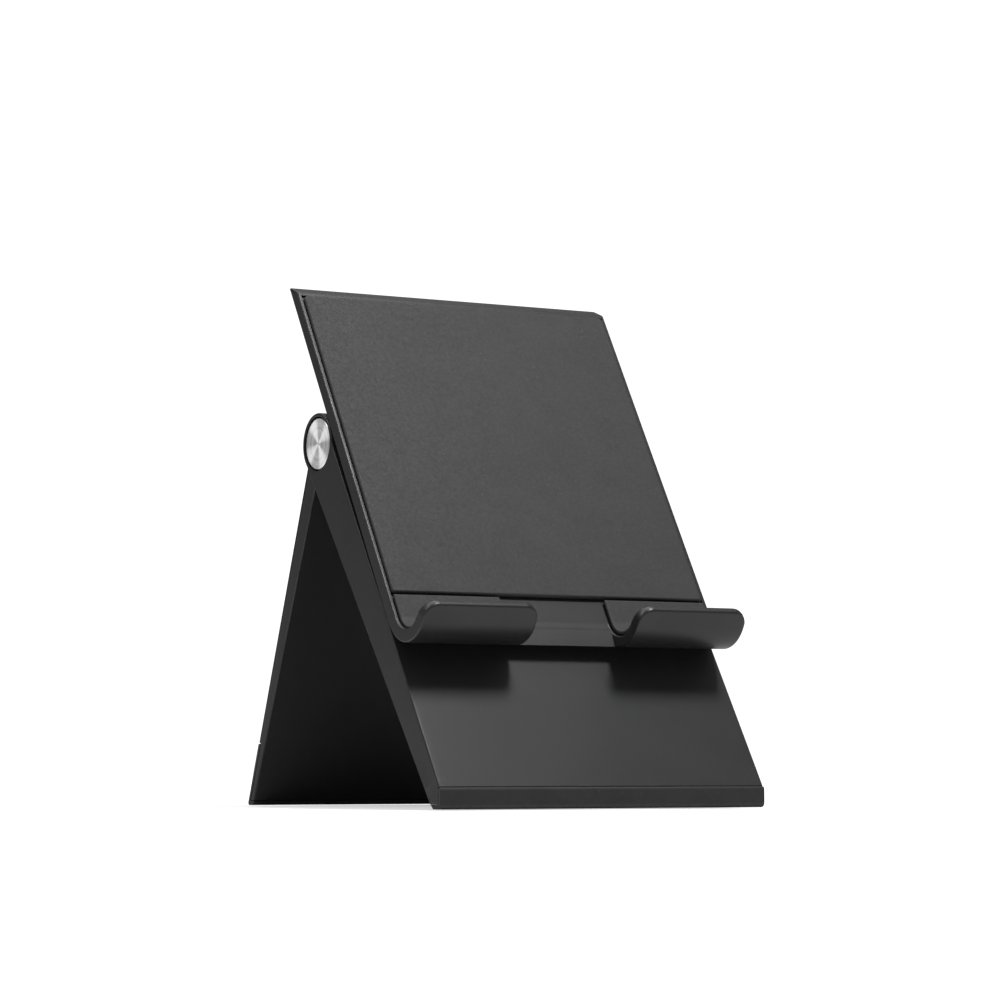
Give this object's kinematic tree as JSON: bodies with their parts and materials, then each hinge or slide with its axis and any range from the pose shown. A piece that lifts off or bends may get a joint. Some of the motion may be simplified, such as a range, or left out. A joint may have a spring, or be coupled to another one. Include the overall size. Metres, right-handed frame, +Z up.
{
  "type": "phone stand",
  "caption": "Folding desk stand for a phone: two hinged legs and a reclining back plate with a padded hook and a cable cut-out, on one friction axle.",
  "frame": {"origin": "centre of the footprint, on the surface the stand rests on", "axes": "+X across the width, to the right seen from the front; -Y towards the hook and the user; +Z up"},
  "size_m": [0.0776, 0.0902, 0.1115],
  "materials": {
    "shell_plastic": "fine-textured matt black moulded plastic",
    "foot_rubber": "matt black soft rubber",
    "pad_silicone": "matt dark grey silicone",
    "cap_aluminium": "spun aluminium with fine circular turning lines",
    "hinge_steel": "bright turned steel",
    "hinge_nylon": "natural nylon",
    "bracket_zinc": "black coated cast zinc"
  },
  "bodies": {
    "front_leg_body": {"front_leg": "shell_plastic", "front_foot_strip": "foot_rubber", "hinge_axle": "hinge_steel", "cap_disc_left": "cap_aluminium", "cap_disc_right": "cap_aluminium", "lock_nut_left": "hinge_steel", "lock_nut_right": "hinge_steel", "flat_washer_left": "hinge_steel", "flat_washer_right": "hinge_steel", "wave_washer_left": "hinge_steel", "wave_washer_right": "hinge_steel"},
    "rear_leg_body": {"rear_leg": "shell_plastic", "rear_foot_strip": "foot_rubber", "friction_bush_left": "hinge_nylon", "friction_bush_right": "hinge_nylon"},
    "cradle_body": {"cradle": "shell_plastic", "back_pad": "pad_silicone", "hook_pad_left": "pad_silicone", "hook_pad_right": "pad_silicone", "hinge_bracket_left": "bracket_zinc", "hinge_bracket_right": "bracket_zinc", "bracket_screw_1": "hinge_steel", "bracket_screw_2": "hinge_steel", "bracket_screw_3": "hinge_steel", "bracket_screw_4": "hinge_steel", "friction_shim_left": "hinge_nylon", "friction_shim_right": "hinge_nylon", "axle_sleeve": "hinge_nylon"}
  },
  "joints": [
    {"name": "rear_leg_fold", "type": "hinge", "parent": "front_leg_body", "child": "rear_leg_body", "pos_m": [0, 0.00838, 0.07665], "axis": [-1, 0, 0], "range_deg": [0, 58]},
    {"name": "cradle_tilt", "type": "hinge", "parent": "front_leg_body", "child": "cradle_body", "pos_m": [0, 0.00838, 0.07665], "axis": [-1, 0, 0], "range_deg": [0, 100]}
  ]
}
